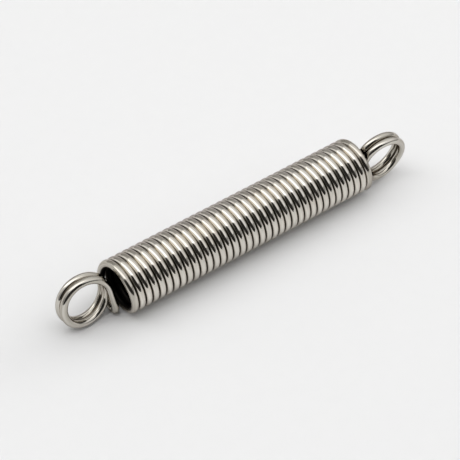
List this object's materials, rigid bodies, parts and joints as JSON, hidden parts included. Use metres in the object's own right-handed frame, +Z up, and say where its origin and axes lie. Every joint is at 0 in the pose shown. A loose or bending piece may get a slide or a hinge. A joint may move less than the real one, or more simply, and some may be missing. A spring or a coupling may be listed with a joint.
{
  "type": "extension spring",
  "caption": "Close-wound extension spring of round wire with a double-turn eye at each end, for pulling two small parts together.",
  "frame": {"origin": "middle of the overall length and width, at the height of the surface that the coil body lies on", "axes": "+X along the spring's axis from the front eye to the rear eye, +Z up, the openings of both eyes facing roughly along Y"},
  "size_m": [0.0838, 0.012, 0.0124],
  "materials": {
    "spring_wire": "bright nickel-plated drawn spring wire"
  },
  "bodies": {
    "root": {"spring": "spring_wire"}
  },
  "joints": []
}
